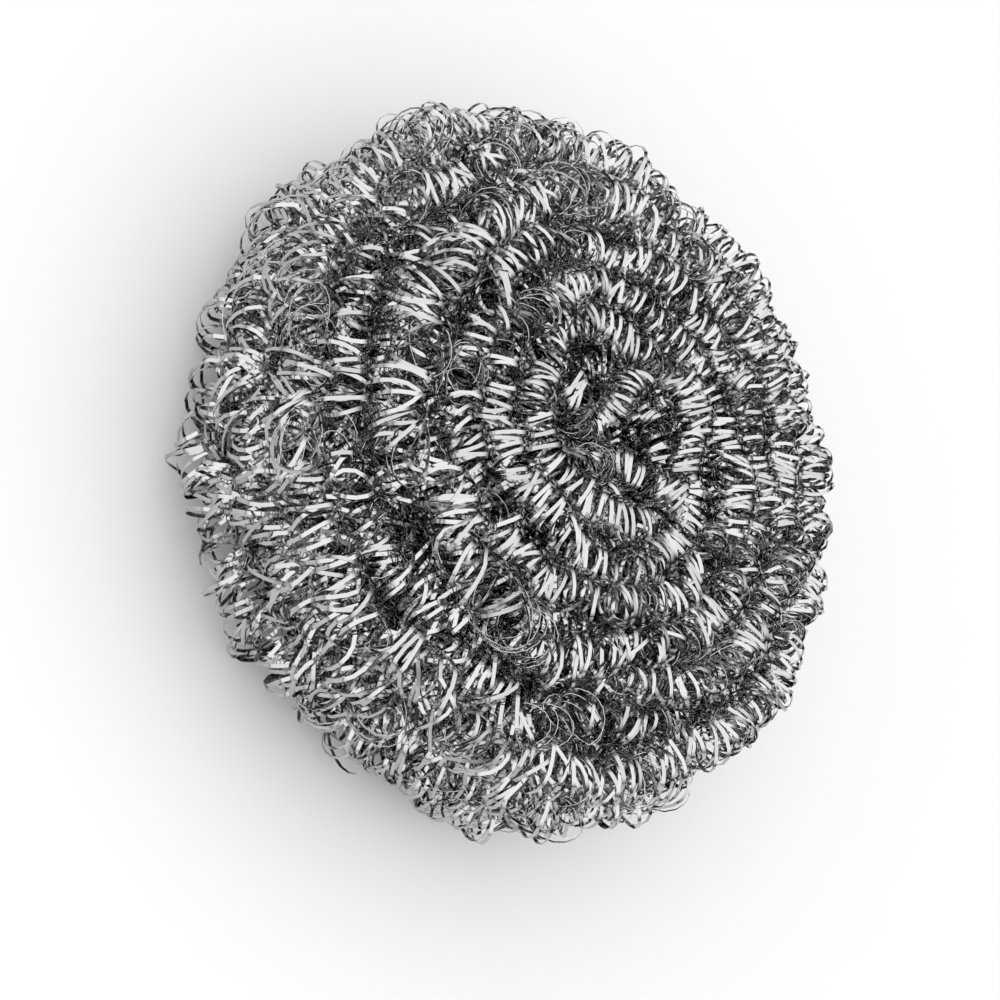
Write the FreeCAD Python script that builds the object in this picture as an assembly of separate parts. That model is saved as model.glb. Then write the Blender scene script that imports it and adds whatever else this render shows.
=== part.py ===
import FreeCAD, Part
import math
import os

# Pot scrubber: a round pad wound from seven strands of curled steel ribbon, with four curled ties through
# its eye. Millimetres. +Z runs through the pad from the back to the front; the origin is the middle of the
# face it rests on. A winding strand is a tube as wide as its curls; a tie has each of its curls.

PAD_DIAMETER = 100.0      # across the widest rows
STRAND_DIAMETER = 5.3     # across the curls of a winding strand
STRAND_GAP = 0.45         # clear space between neighbouring rows, and between rows and ties
LAYER_NAMES = ["back", "back_inner", "rim_back", "rim", "rim_front", "front_inner", "front"]
RIM_LAYERS = 3            # layers in the straight band of the rim
SECTION_POWER = 2.6       # roundness of the section past the rim: 2 is an ellipse, more is squarer
REST_CUT = 0.5            # depth of the flat on the rows that the pad rests on
TIE_COUNT = 4             # ties round the eye
TIE_TURN = 60.0           # degrees from the start of the row under the first tie to that tie
TIE_END_GAP = 0.8         # clear space between a tie's end and the row of the face past it
TIE_STANDOFF = 0.2        # clear space between the ties and the plane that the pad rests on
TIE_CURL_PITCH = 1.65     # run of a tie along one curl
RIBBON_WIDTH = 0.5        # width of the ribbon, the diameter of a tie's tube
LEAST_COIL_GAP = 0.4      # least clear space of a strand or tie to itself
START_PLACES = 1000       # places tried for the start of a face's row
BIARCS = 4                # biarcs to a turn of a strand or a curl of a tie
GAP_PLACES = 24           # points to a turn or a curl that clear space is measured on

ROW_PITCH = STRAND_DIAMETER + STRAND_GAP
LAYER_RISE = ROW_PITCH * math.sin(math.pi / 3)
TOP_LAYER = len(LAYER_NAMES) - 1
LOWEST_ROW = STRAND_DIAMETER / 2 - REST_CUT
MIDDLE_HEIGHT = LOWEST_ROW + LAYER_RISE * TOP_LAYER / 2
HALF_SECTION = LAYER_RISE * TOP_LAYER / 2 + STRAND_DIAMETER / 2
HALF_RIM = LAYER_RISE * (RIM_LAYERS - 1) / 2

# The rows are involutes of one circle, so they lie the same pitch apart all the way out.
INVOLUTE_RADIUS = ROW_PITCH / (2 * math.pi)

TIE_DIAMETER = LAYER_RISE - REST_CUT - STRAND_GAP - TIE_STANDOFF
TIE_RADIUS = (TIE_DIAMETER + STRAND_GAP) / (2 * math.sin(math.pi / TIE_COUNT))
TIE_BEND = STRAND_DIAMETER / 2 + STRAND_GAP + TIE_DIAMETER / 2
INNER_ROW = TIE_RADIUS + TIE_BEND
TIE_STRAIGHT = LAYER_RISE * (TOP_LAYER - 2)
TIE_HOOK = TIE_STRAIGHT / 2 + TIE_BEND * math.pi / 2
CURL_RADIUS = (TIE_DIAMETER - RIBBON_WIDTH) / 2


def arc(start, heading, end):
    """The arc that leaves start along heading and stops at end."""
    chord = end - start
    along = chord.dot(heading)
    side = heading * chord.dot(chord) - chord * along
    middle = (start + end) * 0.5 + side * (0.5 / (chord.Length + along))
    return Part.Arc(start, middle, end).toShape()


def biarc(start, out, end, into):
    """Two arcs, tangent to each other, from start along out to end along into."""
    chord = end - start
    both = chord.dot(out + into)
    bend = 2 * (1 - out.dot(into))
    arm = (math.sqrt(both * both + bend * chord.dot(chord)) - both) / bend
    first_corner = start + out * arm
    last_corner = end - into * arm
    joint = (first_corner + last_corner) * 0.5
    heading = (last_corner - first_corner).normalize()
    return [arc(start, out, joint), arc(joint, heading, end)]


def tube(points, headings, diameter):
    """One round tube along biarcs through the points."""
    edges = []
    for i in range(len(points) - 1):
        edges += biarc(points[i], headings[i], points[i + 1], headings[i + 1])
    ring = Part.Wire(Part.makeCircle(diameter / 2, points[0], headings[0]))
    return Part.Wire(edges).makePipeShell([ring], True, False)


def report_gap(node, points, diameter):
    """Print a tube's least clear space to itself, between points at least half a turn from each other."""
    nearest = math.inf
    for i, point in enumerate(points):
        for other in points[i + GAP_PLACES // 2:]:
            nearest = min(nearest, point.distanceToPoint(other))
    gap = nearest - diameter
    print(node, "least gap to itself", round(gap, 2))
    if gap <= LEAST_COIL_GAP:
        raise ValueError("the coils lie too close: " + node)


def spread(first, last, steps):
    return [first + (last - first) * i / steps for i in range(steps + 1)]


def layer_height(layer):
    return LOWEST_ROW + LAYER_RISE * layer


def unwound(radius):
    """Angle that the involute has unwound where it reaches the radius."""
    return math.sqrt((radius / INVOLUTE_RADIUS) ** 2 - 1)


def outer_radius(layer):
    """Radius where a layer's strand ends: the rim is straight, and rounds over to the faces."""
    past_rim = max(abs(layer_height(layer) - MIDDLE_HEIGHT) - HALF_RIM, 0)
    share = past_rim / (HALF_SECTION - HALF_RIM)
    return PAD_DIAMETER / 2 * (1 - share ** SECTION_POWER) ** (1 / SECTION_POWER) - STRAND_DIAMETER / 2


# The middle layer ends its strand on the X axis.
MIDDLE_LAYER = TOP_LAYER // 2
MIDDLE_END = unwound(outer_radius(MIDDLE_LAYER))
FIRST_TURN = MIDDLE_END - math.atan(MIDDLE_END)


def layer_turn(layer):
    """Each layer is turned half way round, so that its rows lie over the grooves of the layer below."""
    return FIRST_TURN + (layer - MIDDLE_LAYER) * math.pi


def row_point(layer, angle):
    turned = angle - layer_turn(layer)
    x = math.cos(turned) + angle * math.sin(turned)
    y = angle * math.cos(turned) - math.sin(turned)
    return FreeCAD.Vector(INVOLUTE_RADIUS * x, INVOLUTE_RADIUS * y, layer_height(layer))


def row_heading(layer, angle):
    turned = angle - layer_turn(layer)
    return FreeCAD.Vector(math.cos(turned), -math.sin(turned), 0)


def row_azimuth(layer, angle):
    return layer_turn(layer) - angle + math.atan(angle)


def first_row(layer, azimuth):
    """Radius of a layer's row next to the eye at an azimuth."""
    angle = unwound(INNER_ROW)
    turn = (row_azimuth(layer, angle) - azimuth) % (2 * math.pi)
    return INNER_ROW + ROW_PITCH * turn / (2 * math.pi)


def tie_azimuth(tie):
    """The ties lie a quarter turn apart, the first a little past the start of the row under it."""
    start = row_azimuth(TOP_LAYER - 1, unwound(INNER_ROW))
    return start - math.radians(TIE_TURN) - tie * 2 * math.pi / TIE_COUNT


def tie_end(tie, layer):
    """Run from a tie's middle to its end, whose corners stop short of the face's first row over the layer."""
    face_row = first_row(layer, tie_azimuth(tie)) + ROW_PITCH / 2
    corner = face_row - STRAND_DIAMETER / 2 - TIE_END_GAP - RIBBON_WIDTH / 2
    end = math.sqrt(corner ** 2 - CURL_RADIUS ** 2)
    return TIE_HOOK + max(end - INNER_ROW, 0)


def tie_route(run):
    """Radius, height and lean of a tie's centre line at a run from its middle, up positive."""
    side = math.copysign(1, run)
    bent = min(max(abs(run) - TIE_STRAIGHT / 2, 0) / TIE_BEND, math.pi / 2)
    up = min(abs(run), TIE_STRAIGHT / 2) + TIE_BEND * math.sin(bent)
    out = max(abs(run) - TIE_HOOK, 0)
    radius = INNER_ROW - TIE_BEND * math.cos(bent) + out
    return radius, MIDDLE_HEIGHT + side * up, side * bent


class Tie:
    """A curled strand that hooks over the inner rows of both faces."""

    def __init__(self, tie):
        self.azimuth = tie_azimuth(tie)
        self.first = -tie_end(tie, 1)
        self.last = tie_end(tie, TOP_LAYER - 1)
        self.curls = round((self.last - self.first) / TIE_CURL_PITCH)
        self.pitch = (self.last - self.first) / self.curls

    def place(self, outward, across, up):
        x = outward * math.cos(self.azimuth) - across * math.sin(self.azimuth)
        y = outward * math.sin(self.azimuth) + across * math.cos(self.azimuth)
        return FreeCAD.Vector(x, y, up)

    def curl(self, run):
        radius, height, lean = tie_route(run)
        turned = 2 * math.pi * run / self.pitch
        out = CURL_RADIUS * math.sin(turned)
        across = CURL_RADIUS * math.cos(turned)
        return self.place(radius + out * math.cos(lean), across, height - out * math.sin(lean))

    def heading(self, run):
        step = self.pitch / 1000
        return (self.curl(run + step) - self.curl(run - step)).normalize()

    def runs(self, places):
        return spread(self.first, self.last, self.curls * places)


def row_start(layer, curls):
    """Angle where a layer's strand starts: at the eye, or on the two faces clear of the ties' curls."""
    eye = unwound(INNER_ROW)
    if layer not in (0, TOP_LAYER):
        return eye
    room = (STRAND_DIAMETER + RIBBON_WIDTH) / 2 + STRAND_GAP
    clear = unwound(outer_radius(layer))
    for angle in spread(clear, eye, START_PLACES):
        point = row_point(layer, angle)
        if min(point.distanceToPoint(place) for place in curls) < room:
            break
        clear = angle
    return clear


def row_angles(layer, first, places):
    """Angles along a layer's strand, with at least so many places to a turn."""
    last = unwound(outer_radius(layer))
    return spread(first, last, math.ceil((last - first) / (2 * math.pi) * places))


def save(node, solid):
    if not solid.isValid() or len(solid.Solids) != 1:
        raise ValueError("not one sound solid: " + node)
    solid.Solids[0].exportStep("parts/" + node + ".step")


os.makedirs("parts", exist_ok=True)
below = Part.makeBox(PAD_DIAMETER * 2, PAD_DIAMETER * 2, PAD_DIAMETER)
below.translate(FreeCAD.Vector(-PAD_DIAMETER, -PAD_DIAMETER, -PAD_DIAMETER))
ties = [Tie(tie) for tie in range(TIE_COUNT)]
curls = [tie.curl(run) for tie in ties for run in tie.runs(GAP_PLACES)]

for layer, name in enumerate(LAYER_NAMES):
    node = name + "_strand"
    start = row_start(layer, curls)
    report_gap(node, [row_point(layer, a) for a in row_angles(layer, start, GAP_PLACES)], STRAND_DIAMETER)
    angles = row_angles(layer, start, BIARCS)
    points = [row_point(layer, a) for a in angles]
    headings = [row_heading(layer, a) for a in angles]
    solid = tube(points, headings, STRAND_DIAMETER)
    if layer == 0:
        solid = solid.cut(below)
    save(node, solid)

for i, tie in enumerate(ties):
    node = "centre_tie_" + str(i + 1)
    report_gap(node, [tie.curl(run) for run in tie.runs(GAP_PLACES)], RIBBON_WIDTH)
    points = [tie.curl(run) for run in tie.runs(BIARCS)]
    headings = [tie.heading(run) for run in tie.runs(BIARCS)]
    save(node, tube(points, headings, RIBBON_WIDTH))
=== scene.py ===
import math

import bmesh
import bpy
import numpy as np
from mathutils import Matrix, Vector


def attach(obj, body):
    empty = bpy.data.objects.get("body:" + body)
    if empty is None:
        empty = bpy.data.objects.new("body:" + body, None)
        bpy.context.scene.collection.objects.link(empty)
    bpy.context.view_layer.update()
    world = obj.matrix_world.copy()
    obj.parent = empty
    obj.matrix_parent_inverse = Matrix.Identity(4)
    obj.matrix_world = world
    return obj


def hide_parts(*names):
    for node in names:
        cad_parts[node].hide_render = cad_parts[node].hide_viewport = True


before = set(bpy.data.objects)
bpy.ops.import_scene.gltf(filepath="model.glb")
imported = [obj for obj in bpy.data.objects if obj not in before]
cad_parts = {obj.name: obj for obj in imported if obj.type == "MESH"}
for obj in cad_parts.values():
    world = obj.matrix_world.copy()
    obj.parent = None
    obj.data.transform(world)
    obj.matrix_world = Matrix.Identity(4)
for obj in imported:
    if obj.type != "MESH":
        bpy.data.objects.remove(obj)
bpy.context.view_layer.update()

bl_info = {
    "name": "Pot scrubber",
    "version": (1, 0, 0),
    "blender": (4, 5, 0),
    "location": "3D View > Sidebar > Scrubber",
    "description": "Winds a round scouring pad from strands of curled steel ribbon",
    "category": "Object",
}

LAYERS = ["back", "back_inner", "rim_back", "rim", "rim_front", "front_inner", "front"]
TOP_LAYER = len(LAYERS) - 1
MIDDLE_LAYER = TOP_LAYER // 2

HANK = 8                # curls that one spin makes
SEGMENTS = 16           # ribbon faces round one curl
SEED_WIDTH = 0.2        # width of the straight coil's ribbon, in curls
MARKS = 4               # places to a curl where the pace along the route is set
TANGENT_STEP = 0.01     # curls to each side of a point that its direction is read from
SEED_STEP = 100         # seeds kept for one setting of the seed
TIE_SEEDS = 50          # first of those that the ties use

# The last turn of a strand moves and swells into the free space outside it, and its end draws in.
ROOM_SHIFT = 0.35       # share of the free space that the turn moves out by
ROOM_SWELL = 0.25       # growth of its curls where the free space is as wide as a strand
ROOM_EASE = 0.5         # radians of the turn over which this begins
END_RUN = 0.015         # metres of the strand that draw in
END_SHIFT = 0.0015      # metres that the end moves inward
END_TAPER = 0.4         # share that its curls shrink by

# Curls are looser to the left and below, and lie more freely away from the eye.
LOOSE_MIDDLE = 1.02
LOOSE_LEFT = 0.13
LOOSE_BELOW = 0.05
PLAY_EYE = 0.45
PLAY_GAIN = 0.43
PLAY_START = 0.01       # metres from the axis where the play begins to grow
PLAY_REACH = 0.024      # metres over which it grows
TIE_FULLNESS = 1.1
TIE_OPENING = (0.1, 0.4)

# Waves along a ribbon: their periods in curls, and their weights.
OVERTONES = (1, 0.61, 0.37)
WAVE_SUM = 1.9
BUNCH_WAVES = {37: 0.7, 11: 0.5, 4.1: 0.3}
SWELL_WAVES = {23: 0.6, 5: 0.7, 1.7: 0.4}
LEAN_OUT_WAVES = {31: 0.9, 6.3: 0.8, 1.9: 0.5}
LEAN_UP_WAVES = {27: 1.2, 5.9: 0.7, 2.1: 0.4}
WANDER_OUT_WAVES = {53: 1.1, 23: 0.7}
WANDER_UP_WAVES = {47: 0.9, 21: 0.6}
STRAY_OUT_WAVES = {7: 0.5, 3.1: 0.4}
STRAY_UP_WAVES = {8: 0.5, 3.7: 0.4}
SQUASH_WAVES = {9: 0.14}
TWIST_WAVES = {2.7: 0.5}

# Single curls that spring out of the row or flop over.
BUMP_SPACING = 45       # curls to one of them
SPRING_WIDTH = 0.8
SPRING_SIZE = 0.25
FLOP_WIDTH = 2.5
FLOP_SIZE = 1.1

FLOOR_RADIUS = 3        # metres from the pad to where the floor sweeps up
FLOOR_STEPS = 96
SWEEP_HEIGHT = 0.5      # metres that the floor sweeps up
SWEEP_STEPS = 12
LIGHT_AXIS = (-0.3, -0.1, 0.95)
DOME_EDGE = (0.03, 0.62)
DOME_DIM = 0.015        # light from outside the dome
PAD_MIDDLE = (0, 0, 0.018)
CAMERA_TOWARD = (-0.6, -0.26, 0.77)
CAMERA_LENS = 65.7
CAMERA_DISTANCE = 0.25
CAMERA_CLIP = 0.01
CAMERA_SHIFT_UP = 0.0055
CAMERA_SHIFT_RIGHT = 0.0056


class ScrubberWinding(bpy.types.PropertyGroup):
    """Where the strands and ties run."""
    pad_diameter: bpy.props.FloatProperty(
        name="Pad diameter", description="Across the widest rows", default=0.1, unit="LENGTH")
    strand_diameter: bpy.props.FloatProperty(
        name="Strand diameter", description="Across the curls of a strand", default=0.0053, unit="LENGTH")
    strand_gap: bpy.props.FloatProperty(
        name="Strand gap", description="Clear space between rows", default=0.00045, unit="LENGTH")
    rim_layers: bpy.props.IntProperty(
        name="Rim layers", description="Layers in the straight band of the rim", default=3)
    section_power: bpy.props.FloatProperty(
        name="Section power", description="Roundness past the rim: 2 is an ellipse", default=2.6)
    rest_cut: bpy.props.FloatProperty(
        name="Rest flat", description="Depth of the flat on the lowest rows", default=0.0005, unit="LENGTH")
    face_start: bpy.props.FloatProperty(
        name="Face start", description="Radius where a face's row starts", default=0.01092, unit="LENGTH")
    ties: bpy.props.IntProperty(
        name="Ties", description="Ties round the eye", default=4)
    tie_turn: bpy.props.FloatProperty(
        name="Tie turn", description="From the start of the row under the first tie to that tie",
        default=math.radians(60), subtype="ANGLE")
    tie_standoff: bpy.props.FloatProperty(
        name="Tie standoff", description="Clear space under the ties", default=0.0002, unit="LENGTH")
    tie_end_gap: bpy.props.FloatProperty(
        name="Tie end gap", description="Clear space past a tie's end", default=0.00105, unit="LENGTH")
    tie_sway: bpy.props.FloatProperty(
        name="Tie sway", description="How far a tie's end is bent to a side", default=0.0024, unit="LENGTH")


class ScrubberRibbon(bpy.types.PropertyGroup):
    """How the ribbon is curled."""
    width: bpy.props.FloatProperty(
        name="Ribbon width", description="Width of the flat ribbon", default=0.0005, unit="LENGTH")
    thickness: bpy.props.FloatProperty(
        name="Ribbon thickness", description="Thickness of the flat ribbon", default=0.00007, unit="LENGTH")
    pitch: bpy.props.FloatProperty(
        name="Curl pitch", description="Run of one curl along a strand", default=0.00088, unit="LENGTH")
    tie_pitch: bpy.props.FloatProperty(
        name="Tie pitch", description="Run of one curl along a tie", default=0.00062, unit="LENGTH")
    fullness: bpy.props.FloatProperty(
        name="Fullness", description="Size of the curls against the strand's", default=1.1)
    bunch: bpy.props.FloatProperty(
        name="Bunching", description="How much the pitch differs along a strand", default=0.55)
    lean: bpy.props.FloatProperty(
        name="Lean", description="How far curls lean along the strand", default=0.6, subtype="ANGLE")
    swell: bpy.props.FloatProperty(
        name="Swell", description="How much curls differ in size", default=0.16, subtype="FACTOR")
    stray: bpy.props.FloatProperty(
        name="Stray", description="How far a strand wanders off its row", default=0.0012, unit="LENGTH")
    seed: bpy.props.IntProperty(
        name="Seed", description="Start of the random numbers", default=7)


class ScrubberFinish(bpy.types.PropertyGroup):
    """Colours of the ribbon and the stage."""
    bright_steel: bpy.props.FloatVectorProperty(
        name="Bright steel", description="Ribbon rolled bright", subtype="COLOR", default=(0.5, 0.49, 0.495))
    dull_steel: bpy.props.FloatVectorProperty(
        name="Dull steel", description="Ribbon with a duller skin", subtype="COLOR",
        default=(0.34, 0.33, 0.325))
    floor: bpy.props.FloatVectorProperty(
        name="Floor", description="Pale floor under the pad", subtype="COLOR", default=(0.68, 0.68, 0.69))
    light: bpy.props.FloatProperty(
        name="Light", description="Brightness of the soft dome of light", default=1.78)


def ease(share):
    """A smooth step from 0 to 1."""
    share = np.clip(share, 0, 1)
    return share * share * (3 - 2 * share)


def unit(v):
    return v / np.linalg.norm(v, axis=1, keepdims=True)


def drift(rng, waves, scale=1):
    """A smooth seeded function of the curl: waves of given periods and weights, each with its overtones."""
    parts = []
    for period, weight in waves.items():
        for share in OVERTONES:
            size = weight * scale * math.sqrt(share) / WAVE_SUM
            parts.append((size, 2 * math.pi / (period * share), rng.uniform(0, 2 * math.pi)))
    return lambda curl: sum(size * np.sin(curl * rate + phase) for size, rate, phase in parts)


def bumps(rng, count, width):
    """A seeded function of the curl: up or down bumps of height 1, so many curls wide, at random places."""
    places = rng.uniform(0, count, max(1, count // BUMP_SPACING))
    signs = rng.choice([-1, 1], len(places))

    def bump(curl):
        return sum(sign * np.exp(-((curl - place) / width) ** 2) for place, sign in zip(places, signs))

    return bump


class Winding:
    """The routes of the strands and ties, from the winding's sizes in metres."""

    def __init__(self, sizes):
        self.strand = sizes.strand_diameter
        self.power = sizes.section_power
        self.half_pad = sizes.pad_diameter / 2
        self.face_start = sizes.face_start
        self.ties = sizes.ties
        self.tie_turn = sizes.tie_turn
        self.tie_end_gap = sizes.tie_end_gap
        self.tie_sway = sizes.tie_sway
        self.pitch = self.strand + sizes.strand_gap
        self.rise = self.pitch * math.sin(math.pi / 3)
        self.lowest = self.strand / 2 - sizes.rest_cut
        self.middle = self.lowest + self.rise * TOP_LAYER / 2
        self.half_section = self.rise * TOP_LAYER / 2 + self.strand / 2
        self.half_rim = self.rise * (sizes.rim_layers - 1) / 2
        self.base = self.pitch / (2 * math.pi)
        self.tie = self.rise - sizes.rest_cut - sizes.strand_gap - sizes.tie_standoff
        self.bend = self.strand / 2 + sizes.strand_gap + self.tie / 2
        self.inner_row = (self.tie + sizes.strand_gap) / (2 * math.sin(math.pi / self.ties)) + self.bend
        self.straight = self.rise * (TOP_LAYER - 2)
        self.hook = self.straight / 2 + self.bend * math.pi / 2
        end = self.unwound(self.outer(MIDDLE_LAYER))
        self.first_turn = end - math.atan(end)

    def height(self, layer):
        return self.lowest + self.rise * layer

    def unwound(self, radius):
        return math.sqrt((radius / self.base) ** 2 - 1)

    def inner(self, layer):
        return self.face_start if layer in (0, TOP_LAYER) else self.inner_row

    def outer(self, layer):
        past_rim = max(abs(self.height(layer) - self.middle) - self.half_rim, 0)
        share = past_rim / (self.half_section - self.half_rim)
        return self.half_pad * (1 - share ** self.power) ** (1 / self.power) - self.strand / 2

    def turn(self, layer):
        return self.first_turn + (layer - MIDDLE_LAYER) * math.pi

    def strand_route(self, layer):
        """A strand's length, and a function from runs along it to points and three square directions."""
        first = self.unwound(self.inner(layer))
        last = self.unwound(self.outer(layer))
        turn = self.turn(layer)

        def route(run):
            angle = np.sqrt(np.maximum(first ** 2 + 2 * run / self.base, 1))
            c, s = np.cos(angle - turn), np.sin(angle - turn)
            flat, high = np.zeros_like(c), np.full_like(c, self.height(layer))
            point = np.stack([self.base * (c + angle * s), self.base * (angle * c - s), high], 1)
            heading = np.stack([c, -s, flat], 1)
            outward = np.stack([s, c, flat], 1)
            return point, heading, outward, np.stack([flat, flat, flat + 1], 1)

        return self.base * (last ** 2 - first ** 2) / 2, route

    def row_fit(self, layer):
        """A function from runs along a strand to the shift of its curls, outward and up, and to their size.

        The last turn swells into the free space outside it, and the end draws in to a point.
        """
        first = self.unwound(self.inner(layer))
        last = self.unwound(self.outer(layer))
        length = self.base * (last ** 2 - first ** 2) / 2

        def fit(run):
            left = last - np.sqrt(np.maximum(first ** 2 + 2 * run / self.base, 1))
            room = self.base * np.clip(left, 0, 2 * math.pi) * ease((2 * math.pi - left) / ROOM_EASE)
            end = 1 - ease((length - run) / END_RUN)
            size = (1 + ROOM_SWELL * room / self.strand) * (1 - END_TAPER * end)
            return ROOM_SHIFT * room - END_SHIFT * end, 0 * run, size

        return fit

    def loose(self, point):
        """How loosely the ribbon is curled at points."""
        return LOOSE_MIDDLE - (LOOSE_LEFT * point[:, 0] + LOOSE_BELOW * point[:, 1]) / self.half_pad

    def play(self, point):
        """How freely the curls lie at points: little by the eye, where they are drawn tight."""
        radius = np.hypot(point[:, 0], point[:, 1])
        return PLAY_EYE + PLAY_GAIN * ease((radius - PLAY_START) / PLAY_REACH)

    def tie_azimuth(self, tie):
        angle = self.unwound(self.inner_row)
        start = self.turn(TOP_LAYER - 1) - angle + math.atan(angle)
        return start - self.tie_turn - tie * 2 * math.pi / self.ties

    def tie_end(self, tie, layer):
        """Run from a tie's middle to its end, short of the face's first row over the layer."""
        angle = self.unwound(self.inner_row)
        past = (self.turn(layer) - angle + math.atan(angle) - self.tie_azimuth(tie)) % (2 * math.pi)
        face_row = self.inner_row + self.base * past + self.pitch / 2
        corner = face_row - self.strand / 2 - self.tie_end_gap
        end = math.sqrt(corner ** 2 - self.tie ** 2 / 4)
        return self.hook + max(end - self.inner_row, 0)

    def tie_route(self, tie):
        """A tie's length, and a function from runs along it to points and three square directions."""
        azimuth = self.tie_azimuth(tie)
        radial = np.array([math.cos(azimuth), math.sin(azimuth), 0])
        across = np.array([-math.sin(azimuth), math.cos(azimuth), 0])
        up = np.array([0, 0, 1])
        back, front = self.tie_end(tie, 1), self.tie_end(tie, TOP_LAYER - 1)

        def route(run):
            run = run - back
            side = np.sign(run)
            bent = np.clip((np.abs(run) - self.straight / 2) / self.bend, 0, math.pi / 2)
            rise = np.minimum(np.abs(run), self.straight / 2) + self.bend * np.sin(bent)
            out = np.maximum(np.abs(run) - self.hook, 0)
            radius = self.inner_row - self.bend * np.cos(bent) + out
            lean = (side * bent)[:, None]
            point = radius[:, None] * radial + (self.middle + side * rise)[:, None] * up
            heading = np.sin(lean) * radial + np.cos(lean) * up
            outward = np.cos(lean) * radial - np.sin(lean) * up
            return point, heading, outward, np.repeat(across[None], len(run), 0)

        return back + front, route

    def tie_fit(self, tie, rng):
        """As row_fit, for a tie: each end is bent to a side, and its curls open by its own amount."""
        back = self.tie_end(tie, 1)
        sway = rng.uniform(-self.tie_sway, self.tie_sway, 2)
        opened = rng.uniform(*TIE_OPENING, 2)

        def fit(run):
            past = run - back
            bent = ease((np.abs(past) - self.straight / 2) / (self.hook - self.straight / 2))
            front = past > 0
            size = TIE_FULLNESS + bent * np.where(front, opened[1], opened[0])
            return 0 * run, bent * np.where(front, sway[1], sway[0]), size

        return fit


def straight_coil(curls):
    """A straight ribbon coil along X, one unit to a curl: one edge spun to a hank, and the hank repeated."""
    bm = bmesh.new()
    across = bm.verts.layers.float.new("across")
    near = bm.verts.new((0, 0, 1))
    far = bm.verts.new((SEED_WIDTH, 0, 1))
    near[across] = -0.5
    far[across] = 0.5
    edge = bm.edges.new((near, far))
    bmesh.ops.spin(bm, geom=[near, far, edge], cent=(0, 0, 0), axis=(1, 0, 0), dvec=(1 / SEGMENTS, 0, 0),
                   angle=2 * math.pi * HANK, steps=HANK * SEGMENTS, use_merge=False)
    hank = bm.verts[:] + bm.edges[:] + bm.faces[:]
    for k in range(1, curls // HANK):
        copy = bmesh.ops.duplicate(bm, geom=hank)["geom"]
        verts = [v for v in copy if isinstance(v, bmesh.types.BMVert)]
        bmesh.ops.translate(bm, vec=(k * HANK, 0, 0), verts=verts)
    bmesh.ops.remove_doubles(bm, verts=bm.verts, dist=0.001)
    bmesh.ops.recalc_face_normals(bm, faces=bm.faces)
    for face in bm.faces:
        face.smooth = True
    for edge in bm.edges:
        edge.smooth = not edge.is_boundary
    return bm


class Curls:
    """The line of a curled ribbon along a route: curls that bunch up, lean, swell and stray."""

    def __init__(self, ribbon, rng, winding, length, route, radius, pitch, fit):
        self.winding, self.route, self.fit = winding, route, fit
        self.radius = radius * ribbon.fullness
        self.count = round(length / pitch / HANK) * HANK
        self.marks = np.arange(self.count * MARKS + 1) / MARKS
        run = self.marks / self.count * length
        point = route(run)[0]
        bunch = winding.play(point) * ribbon.bunch
        pace = np.exp(bunch * drift(rng, BUNCH_WAVES)(self.marks))
        pace = pace * (winding.loose(point) / np.maximum(fit(run)[2], 1)) ** 2
        self.runs = np.concatenate([[0], np.cumsum(pace[:-1])]) / pace[:-1].sum() * length
        self.first_angle = rng.uniform(0, 2 * math.pi)
        self.swell = drift(rng, SWELL_WAVES, ribbon.swell)
        self.spring = bumps(rng, self.count, SPRING_WIDTH)
        self.lean_out = drift(rng, LEAN_OUT_WAVES, ribbon.lean)
        self.lean_up = drift(rng, LEAN_UP_WAVES, ribbon.lean)
        self.flop = bumps(rng, self.count, FLOP_WIDTH)
        self.wander_out = drift(rng, WANDER_OUT_WAVES, ribbon.stray)
        self.wander_up = drift(rng, WANDER_UP_WAVES, ribbon.stray)
        self.stray_out = drift(rng, STRAY_OUT_WAVES, ribbon.stray)
        self.stray_up = drift(rng, STRAY_UP_WAVES, ribbon.stray)
        self.squash = drift(rng, SQUASH_WAVES)
        self.twist = drift(rng, TWIST_WAVES)

    def line(self, curl):
        """Points of the ribbon's middle line, with the axis of the curl and the ribbon's twist there."""
        run = np.interp(curl, self.marks, self.runs)
        point, heading, outward, upward = self.route(run)
        shift, lift, size = self.fit(run)
        loose, play = self.winding.loose(point), self.winding.play(point)
        reach = self.radius * size * loose * (1 + play * (self.swell(curl) + SPRING_SIZE * self.spring(curl)))
        out = shift + loose ** 2 * (self.wander_out(curl) + play * self.stray_out(curl))
        up = lift + loose ** 2 * (self.wander_up(curl) + play * self.stray_up(curl))
        lean_out = play * loose * self.lean_out(curl)
        lean_up = play * loose * (self.lean_up(curl) + FLOP_SIZE * self.flop(curl))
        side = outward * np.cos(lean_out)[:, None] + heading * np.sin(lean_out)[:, None]
        rise = upward * np.cos(lean_up)[:, None] + heading * np.sin(lean_up)[:, None]
        turn = curl * 2 * math.pi + self.first_angle
        squash = 1 + play * self.squash(curl)
        place = point + outward * out[:, None] + upward * up[:, None]
        place = place + side * (reach * squash * np.cos(turn))[:, None]
        place = place + rise * (reach / squash * np.sin(turn))[:, None]
        return place, unit(np.cross(side, rise)), play * self.twist(curl)


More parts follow.
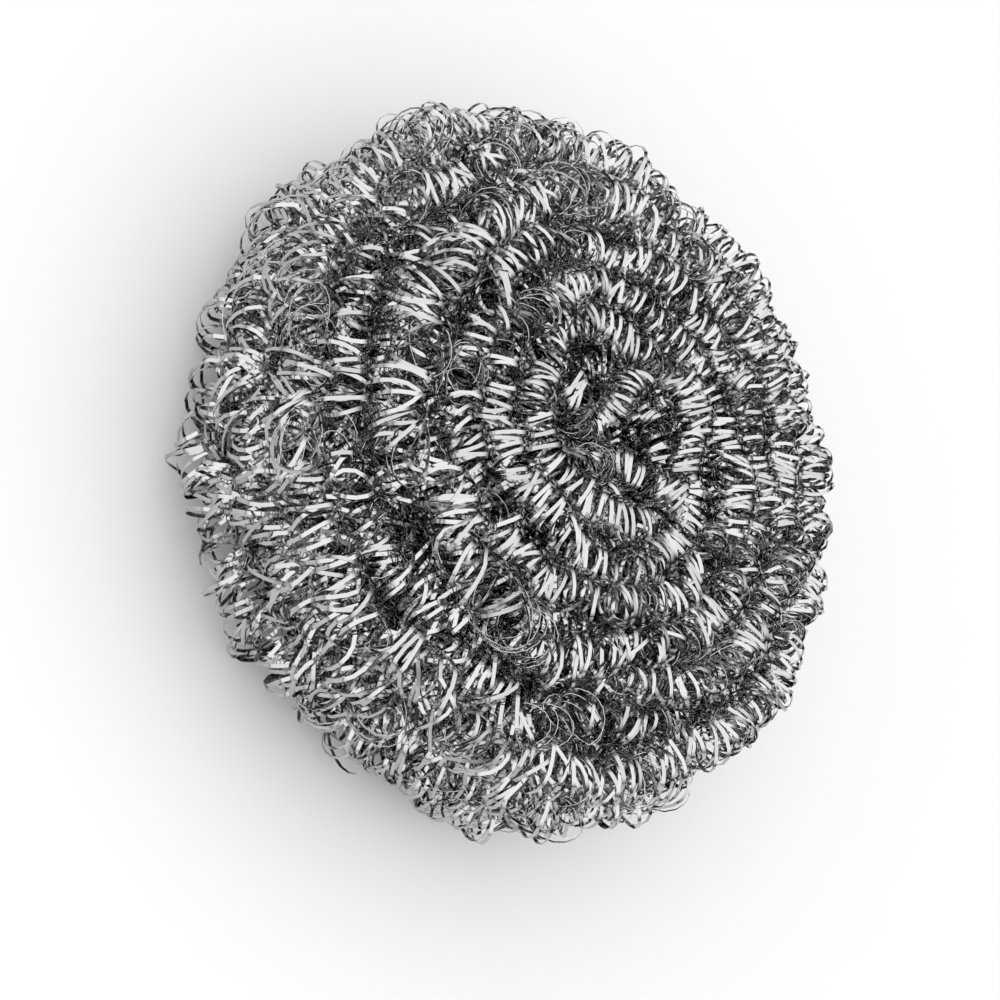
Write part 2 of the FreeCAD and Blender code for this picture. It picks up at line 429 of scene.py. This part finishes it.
def curled_ribbon(name, curls, ribbon):
    """One piece of flat ribbon: a straight coil laid along the line of its curls."""
    bm = straight_coil(curls.count)
    mesh = bpy.data.meshes.new(name)
    bm.to_mesh(mesh)
    bm.free()
    count = len(mesh.vertices)
    flat = np.empty(count * 3)
    mesh.vertices.foreach_get("co", flat)
    across = np.empty(count)
    mesh.attributes["across"].data.foreach_get("value", across)
    curl = flat.reshape(-1, 3)[:, 0] - (across + 0.5) * SEED_WIDTH

    place, axis, twist = curls.line(curl)
    tangent = unit(curls.line(curl + TANGENT_STEP)[0] - curls.line(curl - TANGENT_STEP)[0])
    width = unit(axis - tangent * np.sum(axis * tangent, axis=1, keepdims=True))
    width = width * np.cos(twist)[:, None] + np.cross(tangent, width) * np.sin(twist)[:, None]
    place = place + width * (across * ribbon.width)[:, None]
    place[:, 2] = np.maximum(place[:, 2], ribbon.thickness)
    mesh.vertices.foreach_set("co", place.ravel())
    along = mesh.attributes.new("along", "FLOAT", "POINT")
    along.data.foreach_set("value", curl * 2 * math.pi * curls.radius)
    tone = mesh.attributes.new("tone", "FLOAT", "POINT")
    tone.data.foreach_set("value", 0.5 + curls.squash(curl + curls.count) * 3)
    mesh.update()
    piece = bpy.data.objects.new(name, mesh)
    bpy.context.scene.collection.objects.link(piece)
    skin = piece.modifiers.new("thickness", "SOLIDIFY")
    skin.thickness = ribbon.thickness
    skin.offset = 0
    return piece


class Wire:
    """A shader socket that takes arithmetic; each operation adds a Math node."""

    def __init__(self, tree, socket):
        self.tree, self.socket = tree, socket

    def math(self, operation, a, b):
        return self.tree.node("ShaderNodeMath", {"operation": operation}, {0: a, 1: b})

    def __add__(self, other):
        return self.math("ADD", self, other)

    def __radd__(self, other):
        return self.math("ADD", other, self)

    def __mul__(self, other):
        return self.math("MULTIPLY", self, other)

    def __rmul__(self, other):
        return self.math("MULTIPLY", other, self)


class Tree:
    """The node tree of a material or a world, with one way to add a node."""

    def __init__(self, owner):
        owner.use_nodes = True
        self.owner = owner
        self.nodes = owner.node_tree.nodes
        self.links = owner.node_tree.links
        self.nodes.clear()

    def node(self, kind, settings=None, inputs=None, output=0):
        made = self.nodes.new(kind)
        for key, value in (settings or {}).items():
            setattr(made, key, value)
        for key, value in (inputs or {}).items():
            if isinstance(value, Wire):
                self.links.new(value.socket, made.inputs[key])
            else:
                made.inputs[key].default_value = value
        return Wire(self, made.outputs[output]) if made.outputs else made

    def mix(self, factor, a, b):
        return self.node("ShaderNodeMix", {"data_type": "RGBA"}, {0: factor, 6: a, 7: b}, 2)


def rgba(colour):
    return (*colour, 1)


def ribbon_steel(name, finish):
    """Bright rolled steel: fine lines along the ribbon, duller patches, and a tone that drifts along it."""
    tree = Tree(bpy.data.materials.new(name))
    along = tree.node("ShaderNodeAttribute", {"attribute_name": "along"}, output=2)
    across = tree.node("ShaderNodeAttribute", {"attribute_name": "across"}, output=2)
    tone = tree.node("ShaderNodeAttribute", {"attribute_name": "tone"}, output=2)
    lines = tree.node("ShaderNodeCombineXYZ", None, {"X": along * 60, "Y": across * 9, "Z": tone * 3})
    rolled = tree.node("ShaderNodeTexNoise", None,
                       {"Vector": lines, "Scale": 1, "Detail": 3, "Roughness": 0.6})
    place = tree.node("ShaderNodeTexCoord", output="Object")
    patch = tree.node("ShaderNodeTexNoise", None, {"Vector": place, "Scale": 90, "Detail": 2})
    dull = tree.node("ShaderNodeMapRange", None,
                     {"Value": patch * 0.55 + tone * 0.45, "From Min": 0.4, "From Max": 0.75})
    shade = tuple(c * 0.86 for c in finish.bright_steel)
    bright = tree.mix(rolled * 0.5, rgba(finish.bright_steel), rgba(shade))
    colour = tree.mix(dull * 0.8, bright, rgba(finish.dull_steel))
    rough = 0.04 + rolled * 0.06 + dull * 0.03
    bump = tree.node("ShaderNodeBump", None, {"Strength": 0.05, "Distance": 0.00004, "Height": rolled})
    shader = tree.node("ShaderNodeBsdfPrincipled", None,
                       {"Base Color": colour, "Roughness": rough, "Metallic": 1.0, "Normal": bump})
    tree.node("ShaderNodeOutputMaterial", None, {"Surface": shader})
    return tree.owner


def floor_paint(finish):
    tree = Tree(bpy.data.materials.new("pale_floor"))
    place = tree.node("ShaderNodeTexCoord", output="Object")
    grain = tree.node("ShaderNodeTexNoise", None, {"Vector": place, "Scale": 30, "Detail": 3})
    shade = tuple(c * 0.97 for c in finish.floor)
    colour = tree.mix(grain * 0.3, rgba(finish.floor), rgba(shade))
    shader = tree.node("ShaderNodeBsdfPrincipled", None, {"Base Color": colour, "Roughness": 0.7})
    tree.node("ShaderNodeOutputMaterial", None, {"Surface": shader})
    return tree.owner


def studio_light(level, axis):
    """A soft dome of light round one axis, dim towards the floor."""
    tree = Tree(bpy.data.worlds.new("studio"))
    sky = tree.node("ShaderNodeTexCoord", output="Generated")
    facing = tree.node("ShaderNodeVectorMath", {"operation": "DOT_PRODUCT"}, {0: sky, 1: axis}, "Value")
    dome = tree.node("ShaderNodeMapRange", {"interpolation_type": "SMOOTHSTEP"},
                     {"Value": facing, "From Min": DOME_EDGE[0], "From Max": DOME_EDGE[1],
                      "To Min": DOME_DIM, "To Max": level})
    shader = tree.node("ShaderNodeBackground", None, {"Color": (1, 1, 1, 1), "Strength": dome})
    tree.node("ShaderNodeOutputWorld", None, {"Surface": shader})
    return tree.owner


def steel(scene, name):
    return bpy.data.materials.get(name) or ribbon_steel(name, scene.scrubber_finish)


def finish_ribbon(piece, node, material):
    """Gives a ribbon its steel, and puts it in place of its node."""
    piece.data.materials.append(material)
    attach(piece, "root")
    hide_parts(node)


def wind_layer(context, layer):
    """The strand of one layer."""
    scene = context.scene
    winding = Winding(scene.scrubber_winding)
    ribbon = scene.scrubber_ribbon
    rng = np.random.default_rng(ribbon.seed * SEED_STEP + layer)
    length, route = winding.strand_route(layer)
    curls = Curls(ribbon, rng, winding, length, route, winding.strand / 2, ribbon.pitch,
                  winding.row_fit(layer))
    node = LAYERS[layer] + "_strand"
    finish_ribbon(curled_ribbon(node + "_ribbon", curls, ribbon), node,
                  steel(scene, "curled_ribbon_steel"))


class SCRUBBER_OT_wind_back(bpy.types.Operator):
    """Wind the two layers of the back face"""
    bl_idname = "scrubber.wind_back"
    bl_label = "Back strands"

    def execute(self, context):
        wind_layer(context, 0)
        wind_layer(context, 1)
        return {"FINISHED"}


class SCRUBBER_OT_wind_rim(bpy.types.Operator):
    """Wind the three widest layers, which make the rim"""
    bl_idname = "scrubber.wind_rim"
    bl_label = "Rim strands"

    def execute(self, context):
        wind_layer(context, 2)
        wind_layer(context, 3)
        wind_layer(context, 4)
        return {"FINISHED"}


class SCRUBBER_OT_wind_front(bpy.types.Operator):
    """Wind the two layers of the front face"""
    bl_idname = "scrubber.wind_front"
    bl_label = "Front strands"

    def execute(self, context):
        wind_layer(context, 5)
        wind_layer(context, 6)
        return {"FINISHED"}


class SCRUBBER_OT_centre_ties(bpy.types.Operator):
    """Draw the tight ties through the eye, hooked over both faces"""
    bl_idname = "scrubber.centre_ties"
    bl_label = "Centre ties"

    def execute(self, context):
        scene = context.scene
        winding = Winding(scene.scrubber_winding)
        ribbon = scene.scrubber_ribbon
        for tie in range(winding.ties):
            node = "centre_tie_" + str(tie + 1)
            rng = np.random.default_rng(ribbon.seed * SEED_STEP + TIE_SEEDS + tie)
            length, route = winding.tie_route(tie)
            curls = Curls(ribbon, rng, winding, length, route, winding.tie / 2, ribbon.tie_pitch,
                          winding.tie_fit(tie, rng))
            finish_ribbon(curled_ribbon(node + "_ribbon", curls, ribbon), node,
                          steel(scene, "tie_ribbon_steel"))
        return {"FINISHED"}


class SCRUBBER_OT_stage(bpy.types.Operator):
    """Lay the floor, light the studio and set the camera"""
    bl_idname = "scrubber.stage"
    bl_label = "Stage"

    def execute(self, context):
        scene = context.scene
        bm = bmesh.new()
        hub = bm.verts.new((0, 0, 0))
        edge = bm.verts.new((FLOOR_RADIUS, 0, 0))
        bm.edges.new((hub, edge))
        bmesh.ops.spin(bm, geom=[edge], cent=(FLOOR_RADIUS, 0, SWEEP_HEIGHT), axis=(0, -1, 0),
                       angle=math.pi / 2, steps=SWEEP_STEPS, use_merge=False)
        bmesh.ops.spin(bm, geom=bm.verts[:] + bm.edges[:], cent=(0, 0, 0), axis=(0, 0, 1),
                       angle=2 * math.pi, steps=FLOOR_STEPS, use_merge=True)
        bmesh.ops.remove_doubles(bm, verts=bm.verts, dist=0.001)
        bmesh.ops.recalc_face_normals(bm, faces=bm.faces)
        for face in bm.faces:
            face.smooth = True
        mesh = bpy.data.meshes.new("floor")
        bm.to_mesh(mesh)
        bm.free()
        floor = bpy.data.objects.new("floor", mesh)
        scene.collection.objects.link(floor)
        mesh.materials.append(floor_paint(scene.scrubber_finish))

        scene.world = studio_light(scene.scrubber_finish.light, Vector(LIGHT_AXIS).normalized())

        toward = Vector(CAMERA_TOWARD).normalized()
        right = Vector((0, 1, 0)).cross(toward).normalized()
        up = toward.cross(right)
        camera = bpy.data.cameras.new("camera")
        camera.lens = CAMERA_LENS
        camera.clip_start = CAMERA_CLIP
        holder = bpy.data.objects.new("camera", camera)
        scene.collection.objects.link(holder)
        aim = Vector(PAD_MIDDLE) - up * CAMERA_SHIFT_UP - right * CAMERA_SHIFT_RIGHT
        turned = Matrix((right, up, toward)).transposed().to_4x4()
        turned.translation = aim + toward * CAMERA_DISTANCE
        holder.matrix_world = turned
        scene.camera = holder
        scene.view_settings.view_transform = "Standard"
        return {"FINISHED"}


class SCRUBBER_PT_panel(bpy.types.Panel):
    """The scrubber's sizes, finish and pieces"""
    bl_label = "Pot scrubber"
    bl_idname = "SCRUBBER_PT_panel"
    bl_space_type = "VIEW_3D"
    bl_region_type = "UI"
    bl_category = "Scrubber"

    def draw(self, context):
        scene = context.scene
        for group in (scene.scrubber_winding, scene.scrubber_ribbon, scene.scrubber_finish):
            for key in group.__annotations__:
                self.layout.prop(group, key)
        for operator in OPERATORS:
            self.layout.operator(operator.bl_idname)


OPERATORS = (SCRUBBER_OT_wind_back, SCRUBBER_OT_wind_rim, SCRUBBER_OT_wind_front, SCRUBBER_OT_centre_ties,
             SCRUBBER_OT_stage)
GROUPS = {
    "scrubber_winding": ScrubberWinding,
    "scrubber_ribbon": ScrubberRibbon,
    "scrubber_finish": ScrubberFinish,
}
CLASSES = (*GROUPS.values(), *OPERATORS, SCRUBBER_PT_panel)


def register():
    for cls in CLASSES:
        bpy.utils.register_class(cls)
    for key, cls in GROUPS.items():
        setattr(bpy.types.Scene, key, bpy.props.PointerProperty(type=cls))


def unregister():
    for key in GROUPS:
        delattr(bpy.types.Scene, key)
    for cls in reversed(CLASSES):
        bpy.utils.unregister_class(cls)


def main():
    register()
    bpy.ops.scrubber.wind_back()
    bpy.ops.scrubber.wind_rim()
    bpy.ops.scrubber.wind_front()
    bpy.ops.scrubber.centre_ties()
    bpy.ops.scrubber.stage()


if __name__ == "__main__":
    main()
